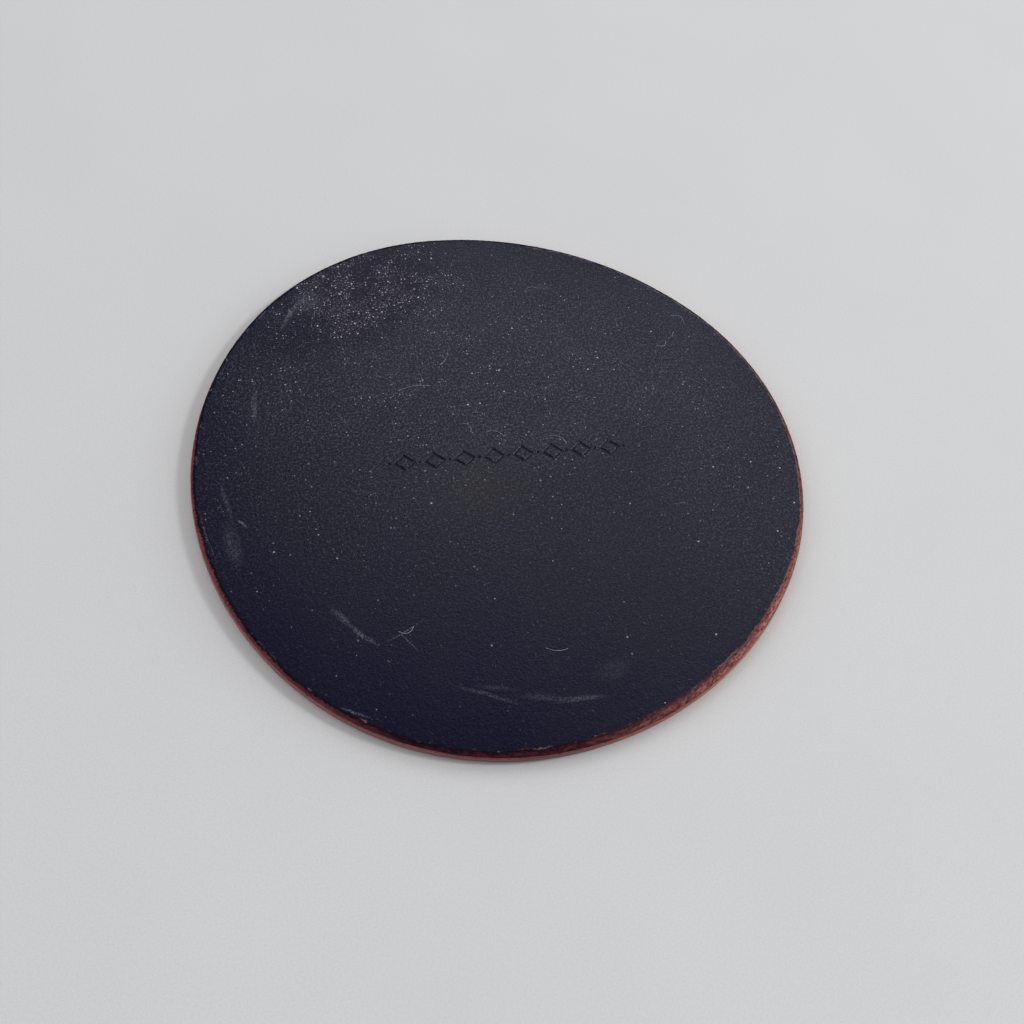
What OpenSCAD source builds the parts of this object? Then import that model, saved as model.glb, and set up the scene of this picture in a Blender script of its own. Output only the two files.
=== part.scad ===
// Wine bottle coaster: a hand-cut, nearly round disc of two cemented leathers with a coated edge.
// Millimetres. The coaster lies on z = 0 with its black face up and its middle on the z axis.

/* [Outline] */
// mean radius of the disc
coaster_radius = 57.5; // [45:0.5:75]
// radius of the right-hand cut, as a share of the mean radius
right_cut_share = 0.92; // [0.88:0.01:0.98]
// radius of the left-hand cut, as a share of the mean radius
left_cut_share = 1.06; // [1:0.01:1.1]
// radius of the far left cut, as a share of the mean radius
far_left_cut_share = 0.87; // [0.84:0.01:0.96]
// radius of the near left cut, as a share of the mean radius
near_left_cut_share = 0.93; // [0.84:0.01:0.96]

/* [Leather] */
// thickness of the black upper leather
top_thickness = 1.6; // [1.3:0.1:3]
// thickness of the cement between the leathers
cement_thickness = 0.1; // [0.05:0.05:0.2]
// thickness of the red-brown backing leather
backing_thickness = 1.5; // [1:0.1:3]

/* [Edge] */
// how far the bevel of the upper rim reaches in over the face
bevel_width = 0.7; // [0.3:0.05:1.2]
// how far the bevel of the upper rim reaches down the wall
bevel_height = 0.75; // [0.3:0.05:1]
// how far the worn lower rim is drawn in
foot_width = 0.25; // [0.1:0.05:0.5]
// height of the worn lower rim
foot_height = 0.3; // [0.1:0.05:0.5]
// greatest thickness of the coat on the edge
coat_thickness = 0.35; // [0.2:0.05:0.6]
// thickness of the coat where it ends on the wall
coat_lip = 0.1; // [0.05:0.05:0.15]

/* [Hidden] */
$fn = 180;

// width of the band that is turned about the centre of each cut
band_share = 0.2;
// radius of the flat middle that joins the bands
core_share = 0.88;
// how far the slicing wedges reach past the outline
reach_share = 2;
// how far cutting shapes stand clear of what they cut
overrun = 1;

// outward directions where one cut runs smoothly into the next, round from the far right
joint_run_share = 0.8;
joint_rise_share = 0.6;
joint_shares = [
    [joint_run_share, joint_rise_share],
    [0, 1],
    [-joint_run_share, joint_rise_share],
    [-joint_run_share, -joint_rise_share],
    [0, -1],
    [joint_run_share, -joint_rise_share]
];

// the outline closes when the two right-hand slanting cuts are this much flatter than those across from them
flatter_share = joint_rise_share / (1 - joint_rise_share) * (left_cut_share - right_cut_share);
far_right_cut_share = near_left_cut_share + flatter_share;
near_right_cut_share = far_left_cut_share + flatter_share;

// the cuts, round from the right-hand one
cut_shares = [
    right_cut_share,
    far_right_cut_share,
    far_left_cut_share,
    left_cut_share,
    near_left_cut_share,
    near_right_cut_share
];
cut_radii = [for (share = cut_shares) share * coaster_radius];
cuts = len(cut_radii);

// neighbouring cuts are tangent, so their centres lie on one line with the joint between them
function chain(i) = i == 0
    ? [0, 0]
    : chain(i - 1) + (cut_radii[i - 1] - cut_radii[i]) * joint_shares[i - 1];
chained_centres = [for (i = [0 : cuts - 1]) chain(i)];
right_end = chained_centres[0].x + cut_radii[0];
far_end = chained_centres[1].y + cut_radii[1];
left_end = chained_centres[3].x - cut_radii[3];
near_end = chained_centres[4].y - cut_radii[4];
middle = [(left_end + right_end) / 2, (near_end + far_end) / 2];
cut_centres = [for (centre = chained_centres) centre - middle];

band_width = band_share * coaster_radius;
core_radius = core_share * coaster_radius;
reach = reach_share * coaster_radius;

cement_level = backing_thickness;
top_level = cement_level + cement_thickness;
total_thickness = top_level + top_thickness;
bevel_level = total_thickness - bevel_height;
coat_height = bevel_level - foot_height;

// the bevel is struck in three passes: share of its width in from the wall, share of its height up
bevel_pass_shares = [[0, 0], [0.16, 0.45], [0.5, 0.82], [1, 1]];

// circle through the two lips and the crown of the coat
coat_crown = coat_thickness - coat_lip;
coat_radius = (coat_crown * coat_crown + coat_height * coat_height / 4) / (2 * coat_crown);

backing_leather_color = "#6f3a33";
cement_color = "#c9b48a";
top_leather_color = "#24242c";
edge_coat_color = "#7d4a47";

// Slice of the plane that belongs to one cut, from its centre outwards.
module slice(i) {
    before = joint_shares[(i + cuts - 1) % cuts];
    after = joint_shares[i];
    translate([cut_centres[i].x, cut_centres[i].y, -overrun])
        linear_extrude(total_thickness + 2 * overrun)
            polygon([[0, 0], reach * before, reach * after]);
}

// Rim that follows the outline: the child is its section, drawn with x = 0 on the outline.
module rim() {
    for (i = [0 : cuts - 1])
        intersection() {
            translate([cut_centres[i].x, cut_centres[i].y, 0])
                rotate_extrude()
                    translate([cut_radii[i], 0])
                        children();
            slice(i);
        }
}

// Flat middle of a leather or of the cement.
module core(level, thickness) {
    translate([0, 0, level])
        cylinder(r = core_radius, h = thickness);
}

// Lower leather: its rim is drawn in a little where it wears on the table.
module backing_leather() {
    color(backing_leather_color) {
        core(0, backing_thickness);
        rim()
            polygon([
                [-band_width, 0],
                [-coat_thickness - foot_width, 0],
                [-coat_thickness, foot_height],
                [-coat_thickness, cement_level],
                [-band_width, cement_level]
            ]);
    }
}

// Film of contact cement that holds the two leathers together.
module cement() {
    color(cement_color) {
        core(cement_level, cement_thickness);
        rim()
            translate([-band_width, cement_level])
                square([band_width - coat_thickness, cement_thickness]);
    }
}

// Upper leather: smooth grain face, its rim bevelled in three passes.
module top_leather() {
    color(top_leather_color) {
        core(top_level, top_thickness);
        rim()
            polygon(concat(
                [[-band_width, total_thickness], [-band_width, top_level], [-coat_thickness, top_level]],
                [for (pass = bevel_pass_shares)
                    [-coat_thickness - pass.x * bevel_width, bevel_level + pass.y * bevel_height]]
            ));
    }
}

// Burnished coat on the cut edge: thin at its two lips and crowned between them.
module edge_coat() {
    color(edge_coat_color)
        rim()
            intersection() {
                translate([-coat_thickness, foot_height])
                    square([coat_thickness + overrun, coat_height]);
                translate([-coat_radius, foot_height + coat_height / 2])
                    circle(r = coat_radius);
            }
}

backing_leather();
cement();
top_leather();
edge_coat();
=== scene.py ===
"""Looks of a wine bottle coaster: a black leather round, cut by hand and cemented on a second leather.

Sizes are written in millimetres and turned to metres by MM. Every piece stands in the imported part's frame.
"""

import math

import bpy
import numpy as np
from mathutils import Matrix, Vector


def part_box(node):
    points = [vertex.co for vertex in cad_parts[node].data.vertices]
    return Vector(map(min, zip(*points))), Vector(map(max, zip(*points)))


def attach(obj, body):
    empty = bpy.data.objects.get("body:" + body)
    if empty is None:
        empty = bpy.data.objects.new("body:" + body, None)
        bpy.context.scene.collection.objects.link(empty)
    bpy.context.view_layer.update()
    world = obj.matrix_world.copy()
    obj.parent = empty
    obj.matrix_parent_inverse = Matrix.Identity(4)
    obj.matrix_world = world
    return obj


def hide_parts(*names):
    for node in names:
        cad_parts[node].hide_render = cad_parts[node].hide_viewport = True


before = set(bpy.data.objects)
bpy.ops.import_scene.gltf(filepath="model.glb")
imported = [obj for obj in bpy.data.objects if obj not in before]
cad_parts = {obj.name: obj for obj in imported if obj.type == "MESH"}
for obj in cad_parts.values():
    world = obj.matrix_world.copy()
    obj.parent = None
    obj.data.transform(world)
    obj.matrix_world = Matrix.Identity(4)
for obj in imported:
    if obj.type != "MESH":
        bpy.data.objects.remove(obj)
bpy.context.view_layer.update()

MM = 0.001
SEED = 7
OVAL_HEIGHT = 100.0

# Heights that the solids give, in millimetres.
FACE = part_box("top_leather")[1].z / MM
TOP_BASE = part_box("top_leather")[0].z / MM
COAT_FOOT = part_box("edge_coat")[0].z / MM
COAT_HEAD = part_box("edge_coat")[1].z / MM
BACKING_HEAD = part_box("backing_leather")[1].z / MM

# How far the pieces of the rim lie inside the outline, how wide the seam is between the coarse mesh and the
# fine mesh of the rim zone, and how far in and up the worn foot reaches.
WALL = 0.35
COAT_LIP = 0.25
BEVEL = 1.05
RIM_ZONE = 2.8
SEAM = 0.1
FOOT = 0.60
FOOT_HEIGHT = 0.30

# The bevel's round: how full it is inwards and downwards, where 1 is a quarter of an ellipse.
BEVEL_IN = 1.15
BEVEL_DOWN = 1.05

# The hand in the bevel: the share by which its width wanders, in how many waves round; and then how much
# wider the knife cut it where it leaned over, in which direction, and over how many degrees.
BEVEL_WANDER = 0.12
BEVEL_WAVES = (5, 60)
WIDE_CUT = 0.65
WIDE_AT = 296.0
WIDE_SPREAD = 24.0

# The hand-cut outline: six arcs that meet tangent to tangent.
# Each row has the centre x and y, the radius, and the outward direction in degrees at which the arc starts.
JOINT = math.degrees(math.atan2(0.6, 0.8))
ARCS = np.array([
    (4.715, -0.690, 52.900, -JOINT),
    (-5.405, -8.280, 65.550, JOINT),
    (-5.405, 7.245, 50.025, 90.0),
    (3.335, 0.690, 60.950, 180.0 - JOINT),
    (-2.645, -3.795, 53.475, 180.0 + JOINT),
    (-2.645, 4.830, 62.100, 270.0),
])

# The blind-tooled row across the middle: open lozenges with a dot between each two and at either end.
LOZENGES = 8
ROW_PITCH = 5.6
ROW_TURN = math.radians(-3.2)
ROW_CENTRE = (0.6, 0.4)

# The finely meshed block that carries the row: its length and width, and its step.
BLOCK = (46.8, 5.2)
BLOCK_STEP = 0.12

# Rings of mesh: on the face, in the flat part of the rim zone, round the bevel, and on the underside. Those
# on the face lie closer near the block, and the wall of the top leather has one more, at WALL_RING.
FACE_RINGS = 40
FLAT_RINGS = 9
BEVEL_RINGS = 14
UNDER_RINGS = 30
RING_SPREAD = 1.2
WALL_RING = 2.0

# Steps round the rim of the coat and the backing, and points on the outside and inside of the coat's section.
COAT_STEPS = 900
BACKING_STEPS = 720
CROWN_POINTS = 19
INNER_POINTS = 5

# How deep inside the rim the middle counts as lying, on the face and on the underside.
FACE_MIDDLE = 25.0
UNDER_MIDDLE = 57.0


def outline(count):
    """Points spread evenly round the outline, with the outward direction at each."""
    spans = np.radians(np.diff(np.append(ARCS[:, 3], ARCS[0, 3] + 360.0)))
    lengths = spans * ARCS[:, 2]
    ends = np.cumsum(lengths)
    run = (np.arange(count) / count * ends[-1] + lengths[0] / 2) % ends[-1]
    arc = np.searchsorted(ends, run, side="right")
    turn = np.radians(ARCS[arc, 3]) + (run - (ends - lengths)[arc]) / ARCS[arc, 2]
    outward = np.stack([np.cos(turn), np.sin(turn)], axis=1)
    return ARCS[arc, :2] + ARCS[arc, 2:3] * outward, outward


def wander(count, seed, slowest, fastest):
    """A closed hand-made wander round the rim, about -1 to 1, from waves that many times round."""
    rng = np.random.default_rng(seed)
    turn = np.arange(count) / count * 2 * math.pi
    waves = np.arange(slowest, fastest + 1)
    phases = rng.uniform(0, 2 * math.pi, len(waves))
    sizes = rng.uniform(0.4, 1.0, len(waves)) / np.sqrt(waves)
    total = (sizes[:, None] * np.sin(waves[:, None] * turn + phases[:, None])).sum(axis=0)
    return total / np.abs(total).max()


def loft(rings):
    """Quads between rings that follow each other, each given by its first point and its number of points."""
    count = rings[0][1]
    step = np.arange(count)
    after = (step + 1) % count
    faces = []
    for (low, _), (high, _) in zip(rings[:-1], rings[1:]):
        faces.append(np.stack([low + step, high + step, high + after, low + after], axis=1))
    return np.concatenate(faces)


def mesh_piece(name, points, quads, fans=(), edges=()):
    """A mesh object at the origin from points in millimetres."""
    mesh = bpy.data.meshes.new(name)
    faces = [tuple(int(i) for i in q) for q in quads] + [tuple(int(i) for i in f) for f in fans]
    mesh.from_pydata((np.asarray(points) * MM).tolist(), [tuple(e) for e in edges], faces)
    mesh.polygons.foreach_set("use_smooth", [True] * len(mesh.polygons))
    mesh.update()
    piece = bpy.data.objects.new(name, mesh)
    bpy.context.scene.collection.objects.link(piece)
    return piece


def loop_piece(name, points):
    """A closed loop of edges through flat points in millimetres."""
    step = np.arange(len(points))
    edges = np.stack([step, np.roll(step, -1)], axis=1)
    return mesh_piece(name, np.column_stack([points, np.zeros(len(points))]), [], edges=edges.tolist())


def note(piece, name, values):
    """Notes one number on each point of a piece, for a tree or a material to read."""
    numbers = piece.data.attributes.new(name, "FLOAT", "POINT").data
    numbers.foreach_set("value", np.asarray(values, np.float32))


def feed(tree, node, sockets):
    """Fills a node's sockets, each with a value, an output, or a node's first output that is in use."""
    for key, value in sockets.items():
        if isinstance(value, bpy.types.Node):
            value = next(output for output in value.outputs if output.enabled)
        if isinstance(value, bpy.types.NodeSocket):
            tree.links.new(value, node.inputs[key])
        else:
            node.inputs[key].default_value = value


def add(tree, kind, sockets=None, **settings):
    """Adds one node with its own settings and what feeds its sockets. Shader nodes go by their short names.

    A Map Range takes its value at 0, the span that comes in at 1 and 2, and the one that goes out at 3 and 4.
    A Mix takes its share at 0, and two numbers at 2 and 3 or two colours at 6 and 7.
    """
    node = tree.nodes.new(kind if "Node" in kind else "ShaderNode" + kind)
    for name, value in settings.items():
        setattr(node, name, value)
    feed(tree, node, sockets or {})
    return node


def shape_tree(name, sizes):
    """An empty Geometry Nodes tree with a named input for each size, and its input node's outputs."""
    kinds = {int: "NodeSocketInt", float: "NodeSocketFloat"}
    tree = bpy.data.node_groups.new(name, "GeometryNodeTree")
    tree.interface.new_socket("Geometry", in_out="INPUT", socket_type="NodeSocketGeometry")
    tree.interface.new_socket("Geometry", in_out="OUTPUT", socket_type="NodeSocketGeometry")
    for size, value in sizes.items():
        kind = kinds.get(type(value), "NodeSocketObject")
        if isinstance(value, bpy.types.Material):
            kind = "NodeSocketMaterial"
        tree.interface.new_socket(size, in_out="INPUT", socket_type=kind)
    return tree, add(tree, "NodeGroupInput").outputs


def run_tree(piece, tree, sizes):
    """Runs a tree on a piece with these sizes, and keeps the result as the piece's plain mesh."""
    step = piece.modifiers.new(tree.name, "NODES")
    step.node_group = tree
    for item in tree.interface.items_tree:
        if item.in_out == "INPUT" and item.name in sizes:
            step[item.identifier] = sizes[item.name]
    depsgraph = bpy.context.evaluated_depsgraph_get()
    shaped = bpy.data.meshes.new_from_object(piece.evaluated_get(depsgraph), depsgraph=depsgraph)
    piece.modifiers.remove(step)
    shaped.name = piece.name
    piece.data = shaped


def linear(colour):
    """An sRGB hex colour as the linear colour that sockets take."""
    parts = [int(colour[i:i + 2], 16) / 255 for i in (1, 3, 5)]
    return tuple(c / 12.92 if c <= 0.04045 else ((c + 0.055) / 1.055) ** 2.4 for c in parts) + (1.0,)


def finish_of(name):
    """An empty material with its tree and shader, and Object coordinates in millimetres."""
    material = bpy.data.materials.new(name)
    material.use_nodes = True
    tree = material.node_tree
    place = add(tree, "TexCoord").outputs["Object"]
    mm = add(tree, "VectorMath", {0: place, "Scale": 1 / MM}, operation="SCALE")
    return material, tree, tree.nodes["Principled BSDF"], mm


def oval(tree, at, x, y, turn, half_length, half_width):
    """An oval on the face, in millimetres and degrees: 1 in its middle, fading to 0 at its edge.

    It is so tall that heights on the leather don't count.
    """
    inside = add(tree, "Mapping", {
        "Vector": at,
        "Location": (x, y, FACE),
        "Rotation": (0.0, 0.0, math.radians(turn)),
        "Scale": (half_length, half_width, OVAL_HEIGHT),
    }, vector_type="TEXTURE")
    return add(tree, "TexGradient", {"Vector": inside}, gradient_type="SPHERICAL").outputs["Fac"]


def towards(bearing, height):
    """The direction that lies at a bearing, anticlockwise from +X, and a height angle, both in degrees."""
    level = math.cos(math.radians(height))
    turn = math.radians(bearing)
    return Vector((level * math.cos(turn), level * math.sin(turn), math.sin(math.radians(height))))


# Dry rubs in the wax of the face, as seen on the real one: middle x and y, direction in degrees, half length,
# half width and strength.
RUBS = [
    (-34.9, 40.7, 54.0, 7.2, 0.70, 1.0),
    (-32.2, 42.6, 48.0, 5.0, 2.10, 0.42),
    (-44.7, 18.6, 87.0, 5.6, 0.65, 0.55),
    (-51.3, -2.4, -80.0, 5.4, 0.50, 0.45),
    (-50.9, -11.0, -84.0, 5.6, 1.90, 0.30),
    (-49.0, -6.9, -48.7, 1.6, 0.32, 0.95),
    (-34.4, -27.6, -52.0, 3.2, 0.80, 0.55),
    (-31.4, -31.2, -50.0, 4.2, 0.55, 0.70),
    (-24.3, -33.5, -54.0, 3.4, 0.17, 0.80),
    (-24.7, -32.2, 21.4, 5.4, 0.17, 0.80),
    (-55.0, -9.1, -77.3, 6.2, 0.17, 0.60),
    (-34.5, -44.75, -30.0, 3.0, 0.28, 0.95),
    (-12.9, -45.5, -25.4, 6.8, 0.42, 0.42),
    (-11.2, -44.7, -14.0, 4.4, 0.50, 0.26),
    (-3.8, -47.5, -12.0, 5.0, 0.80, 0.26),
    (2.0, -48.7, -6.0, 6.0, 0.66, 0.44),
    (9.3, -44.9, 10.0, 3.2, 2.2, 0.17),
    (16.8, 40.7, -20.0, 3.0, 1.1, 0.34),
    (30.2, -14.9, -5.5, 1.9, 0.16, 0.80),
    (47.0, 32.6, -40.0, 2.2, 0.25, 0.45),
]

# Where pale grit lies, first thickly and then thinly: middle x and y, direction in degrees, half length,
# half width and share.
GRIT_PATCHES = [
    (-20.5, 45.5, 4.0, 23.0, 14.0, 0.68),
    (-4.0, 24.0, -8.0, 60.0, 26.0, 0.125),
    (-12.0, 17.0, 0.0, 84.0, 48.0, 0.075),
    (47.0, -15.0, 80.0, 36.0, 24.0, 0.070),
]

# Grit in three sizes: width of a cell that may hold one, how the patches and the rest of the face fill them,
# radius, how pale the palest are, and how rare. All lengths are real millimetres.
GRIT_SIZES = [
    (0.42, 1.40, 0.02, 0.11, 0.40, 2.5),
    (2.60, 0.80, 0.020, 0.19, 1.70, 2.2),
    (0.62, 0.80, 0.010, 0.14, 1.20, 4.0),
]


def black_waxed_leather():
    # Cowhide, vegetable tanned, dyed black through the grain and rubbed with wax.
    # The eye gets a near-black face with a soft sheen, a fine pebble, pale grit in the pores and dry rubs;
    # the hand-cut bevel at the rim shows the burgundy edge dye, with a ragged line where it meets the black.
    material, tree, shader, mm = finish_of("black_waxed_leather")

    # Dye and wax lie in clouds about 16 mm wide. In the middle the dye is worn a little, and turns olive.
    cloud = add(tree, "TexNoise", {"Vector": mm, "Scale": 1 / 16, "Detail": 3.0})
    face = add(tree, "Mix", {0: cloud, 6: linear("#030427"), 7: linear("#070420")}, data_type="RGBA")
    olive = oval(tree, mm, -8.0, -5.5, 0.0, 15.0, 11.0)
    olive = add(tree, "Math", {0: olive, 1: cloud}, operation="MULTIPLY")

    # Pebbles of the grain are about 0.5 mm, drawn at that size, with creases of 0.2 mm between them.
    pebble = add(tree, "TexVoronoi", {"Vector": mm, "Scale": 1 / 0.5}, feature="SMOOTH_F1")
    crease = add(tree, "TexNoise", {"Vector": mm, "Scale": 1 / 0.22, "Detail": 2.0})

    # Grit: pale specks in the pores, thick in one patch, thin in others and rare elsewhere.
    patches = []
    for *place, strength in GRIT_PATCHES:
        patches.append(add(tree, "MapRange", {0: oval(tree, mm, *place), 2: 0.6, 4: strength}))
    thinly = 0.0
    for patch in patches[1:]:
        thinly = add(tree, "Math", {0: thinly, 1: patch})
    share = add(tree, "Math", {0: patches[0], 1: thinly})
    clump = add(tree, "TexNoise", {"Vector": mm, "Scale": 1 / 4.5, "Detail": 2.0})
    clump = add(tree, "MapRange", {0: clump, 1: 0.40, 2: 0.62, 3: 0.35, 4: 1.4})
    share = add(tree, "Math", {0: share, 1: clump}, operation="MULTIPLY")
    peak = add(tree, "MapRange", {0: share, 1: 0.05, 2: 0.45, 3: 0.5, 4: 1.0})
    grit = 0.0
    for cell, gain, least, radius, palest, rarity in GRIT_SIZES:
        speck = add(tree, "TexVoronoi", {"Vector": mm, "Scale": 1 / cell}, voronoi_dimensions="2D").outputs
        dice = add(tree, "SeparateColor", {"Color": speck["Color"]}).outputs
        filled = add(tree, "Math", {0: share, 1: gain, 2: least}, operation="MULTIPLY_ADD")
        there = add(tree, "Math", {0: dice[0], 1: filled}, operation="LESS_THAN")
        shape = {0: speck["Distance"], 1: 0.5 * radius / cell, 2: 1.1 * radius / cell, 3: 1.0, 4: 0.0}
        shape = add(tree, "MapRange", shape)
        pale = add(tree, "Math", {0: dice[1], 1: rarity}, operation="POWER")
        pale = add(tree, "Math", {0: pale, 1: palest, 2: 0.06}, operation="MULTIPLY_ADD")
        pale = add(tree, "Math", {0: pale, 1: peak}, operation="MULTIPLY")
        layer = add(tree, "Math", {0: shape, 1: there}, operation="MULTIPLY")
        layer = add(tree, "Math", {0: layer, 1: pale}, operation="MULTIPLY")
        grit = add(tree, "Math", {0: grit, 1: layer}, operation="MAXIMUM")

    # The dice of the last size also tint the stones. Under the thickest grit the hide is dry: less dust holds
    # there, the wax is thin and the stones are warmer.
    stone = add(tree, "Mix", {0: dice[2], 6: linear("#b6bacd"), 7: linear("#c2b8c2")}, data_type="RGBA")
    dry = oval(tree, mm, -28.0, 43.0, 14.0, 31.0, 17.0)
    dry = add(tree, "MapRange", {0: dry, 2: 0.5}, interpolation_type="SMOOTHSTEP")
    warm = add(tree, "Math", {0: dry, 1: 0.5}, operation="MULTIPLY")
    stone = add(tree, "Mix", {0: warm, 6: stone, 7: linear("#c6b8b9")}, data_type="RGBA")

    # A film of dust gives the sandy look, more where grit lies thinly and less where the hide is dry.
    # Its grains are 0.3 mm, drawn at 0.45 mm so that they show from the camera. The pores between are duller.
    film = add(tree, "TexNoise", {"Vector": mm, "Scale": 1 / 0.45, "Detail": 2.0, "Roughness": 0.6})
    film = add(tree, "MapRange", {0: film, 1: 0.47, 2: 0.68})
    dull = add(tree, "MapRange", {0: film, 3: 0.08, 4: -0.06})
    dusty = add(tree, "MapRange", {0: thinly, 2: 0.12, 3: 0.3})
    held = add(tree, "MapRange", {0: dry, 3: 1.0, 4: 0.6})
    dusty = add(tree, "Math", {0: dusty, 1: held}, operation="MULTIPLY")
    film = add(tree, "Math", {0: film, 1: dusty}, operation="MULTIPLY")

    # Rubs: long soft patches, bent a little and broken up by the grain.
    sway = add(tree, "TexNoise", {"Vector": mm, "Scale": 1 / 6.0, "Detail": 1.0}).outputs["Color"]
    sway = add(tree, "VectorMath", {0: sway, 1: (0.5, 0.5, 0.5)}, operation="SUBTRACT")
    swayed = add(tree, "VectorMath", {0: mm, 1: sway}, operation="ADD")
    rub = 0.0
    for *place, strength in RUBS:
        mark = {0: oval(tree, swayed, *place), 2: 0.7, 4: strength}
        mark = add(tree, "MapRange", mark, interpolation_type="SMOOTHSTEP")
        rub = add(tree, "Math", {0: rub, 1: mark}, operation="MAXIMUM")
    worn = add(tree, "TexNoise", {"Vector": mm, "Scale": 1 / 0.28, "Detail": 3.0})
    worn = add(tree, "MapRange", {0: worn, 1: 0.42, 2: 0.62, 3: 0.05, 4: 0.9})
    rub = add(tree, "Math", {0: rub, 1: worn}, operation="MULTIPLY")

    # The layers of the face, from the dye up. The pressed row is painted a little darker, as painted shade in
    # its grooves, and the tool left it smoother.
    pressed = add(tree, "Attribute", attribute_name="pressed").outputs["Fac"]
    for over, tint in ((olive, "#201e14"), (film, "#323340"), (pressed, "#05081d"), (rub, "#656674")):
        face = add(tree, "Mix", {0: over, 6: face, 7: linear(tint)}, data_type="RGBA")
    face = add(tree, "Mix", {0: grit, 6: face, 7: stone}, data_type="RGBA")

    # The bevel: burgundy edge dye, pinkish brown on the right and near black where it meets the face, with
    # fibres along the rim. The dye line wanders by about 0.25 mm to either side.
    cut = add(tree, "Attribute", attribute_name="cut").outputs["Fac"]
    spot = add(tree, "SeparateXYZ", {0: mm}).outputs
    right = add(tree, "MapRange", {0: spot[0], 1: -8.0, 2: 40.0}, interpolation_type="SMOOTHSTEP")
    far = add(tree, "MapRange", {0: spot[1], 1: 14.0, 2: 28.0})
    along = add(tree, "VectorMath", {0: mm, 1: (0.45, 0.45, 0.0)}, operation="MULTIPLY")
    across = add(tree, "CombineXYZ", {2: cut})
    along = add(tree, "VectorMath", {0: along, 1: across}, operation="ADD")
    fibre = add(tree, "TexNoise", {"Vector": along, "Scale": 1 / 0.4, "Detail": 3.0})
    fibre = add(tree, "MapRange", {0: fibre, 1: 0.40, 2: 0.63})
    shades = []
    for left_dye, right_dye in (("#2a0817", "#673b3c"), ("#501d2a", "#a56b68"), ("#0e020d", "#562a30")):
        dyes = {0: right, 6: linear(left_dye), 7: linear(right_dye)}
        shades.append(add(tree, "Mix", dyes, data_type="RGBA"))
    dye = add(tree, "Mix", {0: fibre, 6: shades[0], 7: shades[1]}, data_type="RGBA")
    ragged = add(tree, "TexNoise", {"Vector": mm, "Scale": 1 / 0.5, "Detail": 3.0})
    ragged = add(tree, "MapRange", {0: ragged, 1: 0.3, 2: 0.7, 3: -0.50, 4: -0.15})
    slow = add(tree, "TexNoise", {"Vector": mm, "Scale": 1 / 5.0, "Detail": 1.0})
    line = add(tree, "Math", {0: slow, 1: 0.5, 2: ragged}, operation="MULTIPLY_ADD")
    past = add(tree, "Math", {0: cut, 1: line}, operation="SUBTRACT")
    deep = add(tree, "MapRange", {0: past}, interpolation_type="SMOOTHSTEP")
    dye = add(tree, "Mix", {0: deep, 6: shades[2], 7: dye}, data_type="RGBA")

    # Over that dye: a rosy foot on the left, painted light in pale tan at the near right where the lamp
    # falls, dark pores where the knife cut the hide open, and black on the far side.
    left = add(tree, "MapRange", {0: spot[0], 1: -50.0, 2: -28.0, 3: 1.0, 4: 0.0})
    low = add(tree, "MapRange", {0: past, 1: 0.25, 2: 0.92}, interpolation_type="SMOOTHSTEP")
    low = add(tree, "Math", {0: low, 1: left}, operation="MULTIPLY")
    # Painted light: the near right of the bevel is mixed towards pale tan where the lamp falls.
    painted_light_near_right = add(tree, "MapRange", {0: spot[0], 1: 28.0, 2: 42.0, 4: 0.20})
    nearer = add(tree, "MapRange", {0: spot[1], 1: -24.0, 2: -14.0, 3: 1.0, 4: 0.0})
    painted_light_near_right = add(tree, "Math", {0: painted_light_near_right, 1: nearer}, operation="MULTIPLY")
    pore = add(tree, "TexNoise", {"Vector": along, "Scale": 1 / 0.26, "Detail": 2.0})
    pore = add(tree, "MapRange", {0: pore, 1: 0.54, 2: 0.61, 4: 0.85})
    cut_open = add(tree, "MapRange", {0: spot[0], 1: -10.0, 2: 18.0})
    pore = add(tree, "Math", {0: pore, 1: cut_open}, operation="MULTIPLY")
    for over, tint in ((low, "#804850"), (painted_light_near_right, "#b88070"), (pore, "#2c0e10"), (far, "#17131c")):
        dye = add(tree, "Mix", {0: over, 6: dye, 7: linear(tint)}, data_type="RGBA")

    # A pale line follows the dye line in places, mostly on the right: partly wear, and partly a painted
    # highlight where the bevel's edge catches the light.
    worn_and_lit_line = add(tree, "Math", {0: past}, operation="ABSOLUTE")
    worn_and_lit_line = add(tree, "MapRange", {0: worn_and_lit_line, 1: 0.05, 2: 0.16, 3: 0.42, 4: 0.0})
    patchy = add(tree, "TexNoise", {"Vector": mm, "Scale": 1 / 2.2, "Detail": 3.0})
    patchy = add(tree, "Math", {0: right, 1: 0.17, 2: patchy}, operation="MULTIPLY_ADD")
    patchy = add(tree, "MapRange", {0: patchy, 1: 0.56, 2: 0.68})
    worn_and_lit_line = add(tree, "Math", {0: worn_and_lit_line, 1: patchy}, operation="MULTIPLY")
    black = add(tree, "MapRange", {0: past, 1: 0.10, 2: -0.08})
    colour = add(tree, "Mix", {0: black, 6: dye, 7: face}, data_type="RGBA")
    colour = add(tree, "Mix", {0: worn_and_lit_line, 6: colour, 7: linear("#8c7378")}, data_type="RGBA")

    # The wax is satin and smoother on the near side. The bevel and the rubs are matt.
    rough = add(tree, "MapRange", {0: cloud, 1: 0.3, 2: 0.7, 3: 0.29, 4: 0.35})
    near = add(tree, "MapRange", {0: spot[1], 1: -12.0, 2: -50.0, 4: -0.07})
    rough = add(tree, "Math", {0: rough, 1: near})
    rough = add(tree, "Math", {0: rough, 1: dull})
    rough = add(tree, "Mix", {0: black, 2: 0.85, 3: rough}, data_type="FLOAT")
    rough = add(tree, "Mix", {0: rub, 2: rough, 3: 0.75}, data_type="FLOAT")
    rough = add(tree, "Mix", {0: pressed, 2: rough, 3: 0.34}, data_type="FLOAT")

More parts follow.
